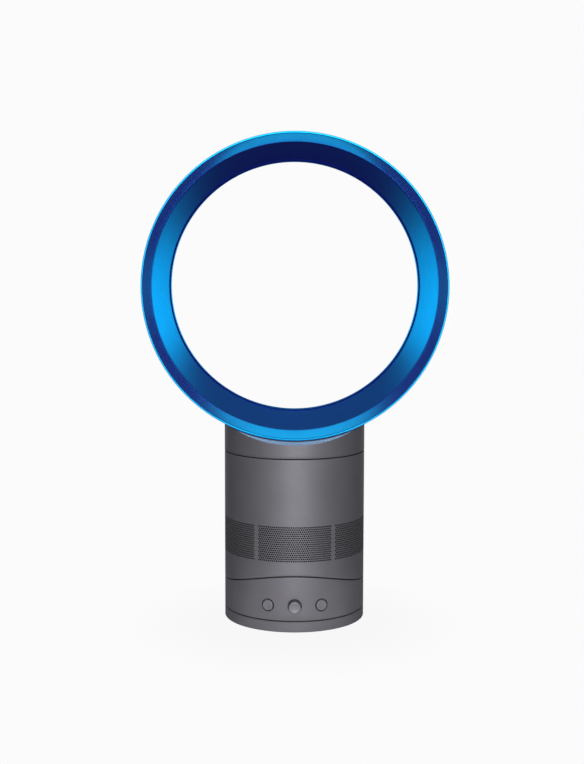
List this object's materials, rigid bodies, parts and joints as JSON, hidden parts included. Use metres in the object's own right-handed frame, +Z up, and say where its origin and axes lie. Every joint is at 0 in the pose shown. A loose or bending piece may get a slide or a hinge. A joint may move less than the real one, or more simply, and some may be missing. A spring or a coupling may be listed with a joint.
{
  "type": "bladeless desk fan",
  "caption": "Free-standing bladeless desk fan: a round body with perforated air intake, push buttons and a speed dial, carrying an open air ring that swings and tilts.",
  "frame": {"origin": "on the table plane, at the middle of the foot's underside", "axes": "+Z up; -Y the front, with the buttons and the dial; +X to the right of someone who faces the front, air leaves towards -Y"},
  "size_m": [0.305, 0.156, 0.493],
  "materials": {
    "iron_shell": "satin metallic charcoal lacquer on moulded plastic",
    "blue_shell": "satin metallic blue lacquer on moulded plastic",
    "control_face": "satin metallic charcoal lacquer with a brighter face",
    "dark_plastic": "moulded black plastic",
    "grey_plastic": "moulded grey plastic",
    "white_plastic": "low-friction moulded plastic",
    "rubber": "matt black rubber",
    "foam": "open-cell silencing foam",
    "steel": "bright steel",
    "motor_iron": "laminated iron with windings",
    "brass": "cut brass",
    "circuit": "solder-masked circuit board"
  },
  "bodies": {
    "foot": {"foot_shell": "iron_shell", "foot_pad": "rubber", "thrust_bearing": "white_plastic", "fixed_gear": "white_plastic", "gear_screw": "steel", "cable_gland": "rubber"},
    "control_section": {"control_housing": "iron_shell", "turntable": "grey_plastic", "turntable_screw_1": "steel", "turntable_screw_2": "steel", "turntable_screw_3": "steel", "hub_washer": "white_plastic", "motor_bracket": "steel", "swing_motor": "steel", "tilt_rail_left": "grey_plastic", "tilt_rail_right": "grey_plastic", "glide_strip_left": "white_plastic", "glide_strip_right": "white_plastic", "rail_screw_left": "steel", "rail_screw_right": "steel", "power_switch": "dark_plastic", "oscillation_switch": "dark_plastic", "dial_encoder": "dark_plastic", "control_board": "circuit", "board_bracket": "grey_plastic", "main_board": "circuit"},
    "pinion": {"drive_pinion": "brass"},
    "power_key": {"power_button": "control_face"},
    "oscillation_key": {"oscillation_button": "control_face"},
    "dial": {"speed_dial": "control_face"},
    "fan_body": {"body_shell": "iron_shell", "intake_screen_front": "iron_shell", "intake_screen_front_right": "iron_shell", "intake_screen_rear_right": "iron_shell", "intake_screen_rear": "iron_shell", "intake_screen_rear_left": "iron_shell", "intake_screen_front_left": "iron_shell", "body_floor": "grey_plastic", "partition_plate": "grey_plastic", "silencer_foam": "foam", "bucket_retainer": "grey_plastic", "support_ring": "grey_plastic", "isolation_ring": "rubber", "impeller_housing": "dark_plastic", "inlet_bellmouth": "dark_plastic", "housing_seal": "rubber", "bucket_lower": "grey_plastic", "bucket_upper": "grey_plastic", "diffuser_vanes": "dark_plastic", "bearing_lower": "steel", "bearing_upper": "steel", "motor_stator": "motor_iron"},
    "rotor": {"impeller": "dark_plastic", "rotor_magnet": "motor_iron", "motor_shaft": "steel"},
    "air_ring": {"collar": "iron_shell", "bayonet_ring": "grey_plastic", "air_duct": "dark_plastic", "ring_outer_shell": "blue_shell", "ring_inner_shell": "blue_shell"}
  },
  "joints": [
    {"name": "swing", "type": "hinge", "parent": "foot", "child": "control_section", "pos_m": [0, 0, 0.012], "axis": [0, 0, 1], "range_deg": [-45, 45]},
    {"name": "pinion_spin", "type": "hinge", "parent": "control_section", "child": "pinion", "pos_m": [0, 0.028, 0.0173], "axis": [0, 0, 1], "range_deg": [-168, 168]},
    {"name": "power_press", "type": "slide", "parent": "control_section", "child": "power_key", "axis": [0.3698, 0.9291, 0], "range_m": [0, 0.0008], "stiffness_N_per_m": 500, "springref_m": -0.0008},
    {"name": "oscillation_press", "type": "slide", "parent": "control_section", "child": "oscillation_key", "axis": [-0.3698, 0.9291, 0], "range_m": [0, 0.0008], "stiffness_N_per_m": 500, "springref_m": -0.0008},
    {"name": "dial_turn", "type": "hinge", "parent": "control_section", "child": "dial", "pos_m": [0, -0.072, 0.027], "axis": [0, 1, 0], "range_deg": [-150, 150]},
    {"name": "tilt", "type": "hinge", "parent": "control_section", "child": "fan_body", "pos_m": [0, 0, 0.21415], "axis": [1, 0, 0], "range_deg": [-10, 10]},
    {"name": "rotor_spin", "type": "hinge", "parent": "fan_body", "child": "rotor", "pos_m": [0, 0, 0.13], "axis": [0, 0, 1], "continuous": true},
    {"name": "ring_twist", "type": "hinge", "parent": "fan_body", "child": "air_ring", "pos_m": [0, 0, 0.173], "axis": [0, 0, 1], "range_deg": [-18, 0]}
  ],
  "couplings": [
    {"joint": "pinion_spin", "follows": "swing", "ratio": 3.6667}
  ]
}
